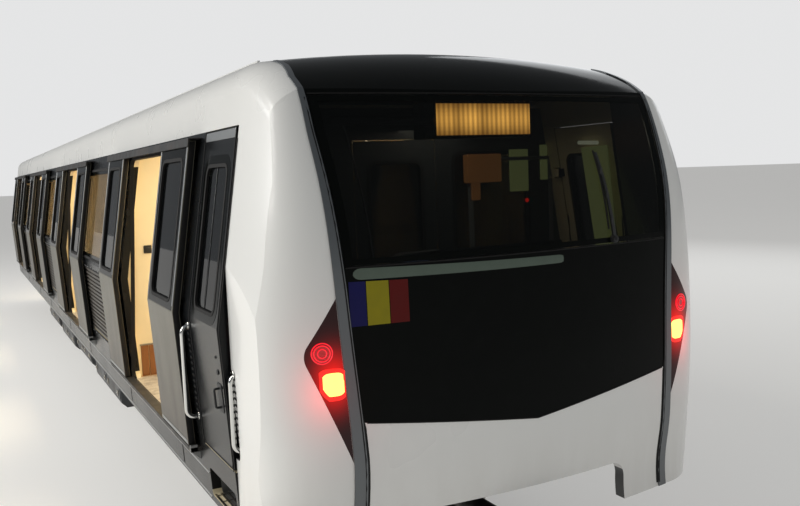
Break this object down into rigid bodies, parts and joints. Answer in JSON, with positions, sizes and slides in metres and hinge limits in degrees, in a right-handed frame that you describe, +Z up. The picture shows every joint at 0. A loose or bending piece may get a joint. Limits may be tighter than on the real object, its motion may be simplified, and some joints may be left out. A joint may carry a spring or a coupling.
{
  "type": "metro cab car",
  "caption": "Metro car with a driver's cab, sliding passenger doors that hang outside the walls, a gangway end and turning bogies.",
  "frame": {"origin": "middle of the car's length and width, at the lowest point of the wheel flanges", "axes": "+X towards the cab end, +Y towards the left side, +Z up"},
  "size_m": [19.45, 3.2406, 3.6799],
  "materials": {
    "dark_steel": "satin dark paint",
    "box_grey": "satin grey paint",
    "sill_metal": "brushed, worn along the edges",
    "side_band": "gloss anthracite",
    "rib_dark": "satin anthracite",
    "white_gloss": "gloss white",
    "roof_grey": "matt grey",
    "bellows_rubber": "matt folds",
    "screen_glass": "clear, slightly tinted",
    "tinted_glass": "dark tint",
    "black_gloss": "gloss black",
    "black_plastic": "matt black",
    "lamp_dark": "gloss, dark red tint",
    "lamp_red": "moulded lens",
    "bright_rail": "polished",
    "floor_brown": "sheet floor, fine grain",
    "seat_plastic": "moulded",
    "cream_panel": "satin cream laminate",
    "desk_dark": "fine leather grain",
    "seat_fabric": "woven",
    "display_amber": "dark case with an amber lit face",
    "leaf_grey": "metallic paint",
    "cast_steel": "cast, oiled",
    "wheel_steel": "turned steel, browned web"
  },
  "bodies": {
    "carbody": {"cab_bulkhead": "cream_panel", "cab_steps": "sill_metal", "cantrails": "white_gloss", "ceiling": "cream_panel", "display_box": "display_amber", "door_rails": "sill_metal", "draught_screens": "cream_panel", "driver_desk": "desk_dark", "driver_seat": "seat_fabric", "end_wall": "side_band", "floor_cover": "floor_brown", "front_frame": "white_gloss", "front_panel": "black_gloss", "gangway_bellows": "bellows_rubber", "gangway_frame": "sill_metal", "grab_rails": "bright_rail", "lamp_housings": "lamp_dark", "lamp_lenses": "lamp_red", "nose_fairing": "black_gloss", "nose_mask": "white_gloss", "nose_panel": "white_gloss", "poles": "bright_rail", "rib_panels": "rib_dark", "roof_panel": "roof_grey", "roof_units": "roof_grey", "seats": "seat_plastic", "side_glass": "tinted_glass", "underfloor_boxes": "box_grey", "underframe": "dark_steel", "wall_left": "side_band", "wall_right": "side_band", "windscreen": "screen_glass", "wiper": "black_plastic"},
    "door_right_1_front": {"door_right_1_front": "leaf_grey"},
    "door_right_1_rear": {"door_right_1_rear": "leaf_grey"},
    "door_right_2_front": {"door_right_2_front": "leaf_grey"},
    "door_right_2_rear": {"door_right_2_rear": "leaf_grey"},
    "door_right_3_front": {"door_right_3_front": "leaf_grey"},
    "door_right_3_rear": {"door_right_3_rear": "leaf_grey"},
    "door_right_4_front": {"door_right_4_front": "leaf_grey"},
    "door_right_4_rear": {"door_right_4_rear": "leaf_grey"},
    "door_left_1_front": {"door_left_1_front": "leaf_grey"},
    "door_left_1_rear": {"door_left_1_rear": "leaf_grey"},
    "door_left_2_front": {"door_left_2_front": "leaf_grey"},
    "door_left_2_rear": {"door_left_2_rear": "leaf_grey"},
    "door_left_3_front": {"door_left_3_front": "leaf_grey"},
    "door_left_3_rear": {"door_left_3_rear": "leaf_grey"},
    "door_left_4_front": {"door_left_4_front": "leaf_grey"},
    "door_left_4_rear": {"door_left_4_rear": "leaf_grey"},
    "cab_door_right": {"cab_door_right": "side_band"},
    "cab_door_left": {"cab_door_left": "side_band"},
    "bulkhead_door": {"bulkhead_door": "cream_panel"},
    "bogie_front": {"bogie_frame_front": "dark_steel"},
    "wheelset_1": {"wheelset_1": "wheel_steel"},
    "wheelset_2": {"wheelset_2": "wheel_steel"},
    "bogie_rear": {"bogie_frame_rear": "dark_steel"},
    "wheelset_3": {"wheelset_3": "wheel_steel"},
    "wheelset_4": {"wheelset_4": "wheel_steel"},
    "coupler_front": {"coupler_front": "cast_steel"},
    "drawbar_rear": {"drawbar_rear": "cast_steel"}
  },
  "joints": [
    {"name": "door_right_1_front_slide", "type": "slide", "parent": "carbody", "child": "door_right_1_front", "axis": [-1, 0, 0], "range_m": [0, 0.751]},
    {"name": "door_right_1_rear_slide", "type": "slide", "parent": "carbody", "child": "door_right_1_rear", "axis": [1, 0, 0], "range_m": [0, 0.751]},
    {"name": "door_right_2_front_slide", "type": "slide", "parent": "carbody", "child": "door_right_2_front", "axis": [-1, 0, 0], "range_m": [0, 0.751]},
    {"name": "door_right_2_rear_slide", "type": "slide", "parent": "carbody", "child": "door_right_2_rear", "axis": [1, 0, 0], "range_m": [0, 0.751]},
    {"name": "door_right_3_front_slide", "type": "slide", "parent": "carbody", "child": "door_right_3_front", "axis": [-1, 0, 0], "range_m": [0, 0.751]},
    {"name": "door_right_3_rear_slide", "type": "slide", "parent": "carbody", "child": "door_right_3_rear", "axis": [1, 0, 0], "range_m": [0, 0.751]},
    {"name": "door_right_4_front_slide", "type": "slide", "parent": "carbody", "child": "door_right_4_front", "axis": [-1, 0, 0], "range_m": [0, 0.751]},
    {"name": "door_right_4_rear_slide", "type": "slide", "parent": "carbody", "child": "door_right_4_rear", "axis": [1, 0, 0], "range_m": [0, 0.751]},
    {"name": "door_left_1_front_slide", "type": "slide", "parent": "carbody", "child": "door_left_1_front", "axis": [1, 0, 0], "range_m": [0, 0.751]},
    {"name": "door_left_1_rear_slide", "type": "slide", "parent": "carbody", "child": "door_left_1_rear", "axis": [-1, 0, 0], "range_m": [0, 0.751]},
    {"name": "door_left_2_front_slide", "type": "slide", "parent": "carbody", "child": "door_left_2_front", "axis": [1, 0, 0], "range_m": [0, 0.751]},
    {"name": "door_left_2_rear_slide", "type": "slide", "parent": "carbody", "child": "door_left_2_rear", "axis": [-1, 0, 0], "range_m": [0, 0.751]},
    {"name": "door_left_3_front_slide", "type": "slide", "parent": "carbody", "child": "door_left_3_front", "axis": [1, 0, 0], "range_m": [0, 0.751]},
    {"name": "door_left_3_rear_slide", "type": "slide", "parent": "carbody", "child": "door_left_3_rear", "axis": [-1, 0, 0], "range_m": [0, 0.751]},
    {"name": "door_left_4_front_slide", "type": "slide", "parent": "carbody", "child": "door_left_4_front", "axis": [1, 0, 0], "range_m": [0, 0.751]},
    {"name": "door_left_4_rear_slide", "type": "slide", "parent": "carbody", "child": "door_left_4_rear", "axis": [-1, 0, 0], "range_m": [0, 0.751]},
    {"name": "cab_door_right_swing", "type": "hinge", "parent": "carbody", "child": "cab_door_right", "pos_m": [8.031, -1.305, 1.6], "axis": [0, 0, 1], "range_deg": [0, 85]},
    {"name": "cab_door_left_swing", "type": "hinge", "parent": "carbody", "child": "cab_door_left", "pos_m": [8.031, 1.305, 1.6], "axis": [0, 0, -1], "range_deg": [0, 85]},
    {"name": "bulkhead_door_swing", "type": "hinge", "parent": "carbody", "child": "bulkhead_door", "pos_m": [7.84, 0.33, 1.6], "axis": [0, 0, -1], "range_deg": [0, 90]},
    {"name": "bogie_front_yaw", "type": "hinge", "parent": "carbody", "child": "bogie_front", "pos_m": [6.2, 0, 0.5], "axis": [0, 0, 1], "range_deg": [-5, 5], "stiffness_Nm_per_rad": 150000},
    {"name": "wheelset_1_spin", "type": "hinge", "parent": "bogie_front", "child": "wheelset_1", "pos_m": [7.3, 0, 0.458], "axis": [0, 1, 0], "continuous": true},
    {"name": "wheelset_2_spin", "type": "hinge", "parent": "bogie_front", "child": "wheelset_2", "pos_m": [5.1, 0, 0.458], "axis": [0, 1, 0], "continuous": true},
    {"name": "bogie_rear_yaw", "type": "hinge", "parent": "carbody", "child": "bogie_rear", "pos_m": [-6.4, 0, 0.5], "axis": [0, 0, 1], "range_deg": [-5, 5], "stiffness_Nm_per_rad": 150000},
    {"name": "wheelset_3_spin", "type": "hinge", "parent": "bogie_rear", "child": "wheelset_3", "pos_m": [-5.3, 0, 0.458], "axis": [0, 1, 0], "continuous": true},
    {"name": "wheelset_4_spin", "type": "hinge", "parent": "bogie_rear", "child": "wheelset_4", "pos_m": [-7.5, 0, 0.458], "axis": [0, 1, 0], "continuous": true},
    {"name": "coupler_front_swing", "type": "hinge", "parent": "carbody", "child": "coupler_front", "pos_m": [8.4, 0, 0.748], "axis": [0, 0, 1], "range_deg": [-15, 15], "stiffness_Nm_per_rad": 3000},
    {"name": "drawbar_rear_swing", "type": "hinge", "parent": "carbody", "child": "drawbar_rear", "pos_m": [-8.9, 0, 0.748], "axis": [0, 0, 1], "range_deg": [-10, 10], "stiffness_Nm_per_rad": 3000}
  ],
  "couplings": [
    {"joint": "door_right_1_rear_slide", "follows": "door_right_1_front_slide", "ratio": 1},
    {"joint": "door_right_2_rear_slide", "follows": "door_right_2_front_slide", "ratio": 1},
    {"joint": "door_right_3_rear_slide", "follows": "door_right_3_front_slide", "ratio": 1},
    {"joint": "door_right_4_rear_slide", "follows": "door_right_4_front_slide", "ratio": 1},
    {"joint": "door_left_1_rear_slide", "follows": "door_left_1_front_slide", "ratio": 1},
    {"joint": "door_left_2_rear_slide", "follows": "door_left_2_front_slide", "ratio": 1},
    {"joint": "door_left_3_rear_slide", "follows": "door_left_3_front_slide", "ratio": 1},
    {"joint": "door_left_4_rear_slide", "follows": "door_left_4_front_slide", "ratio": 1}
  ]
}
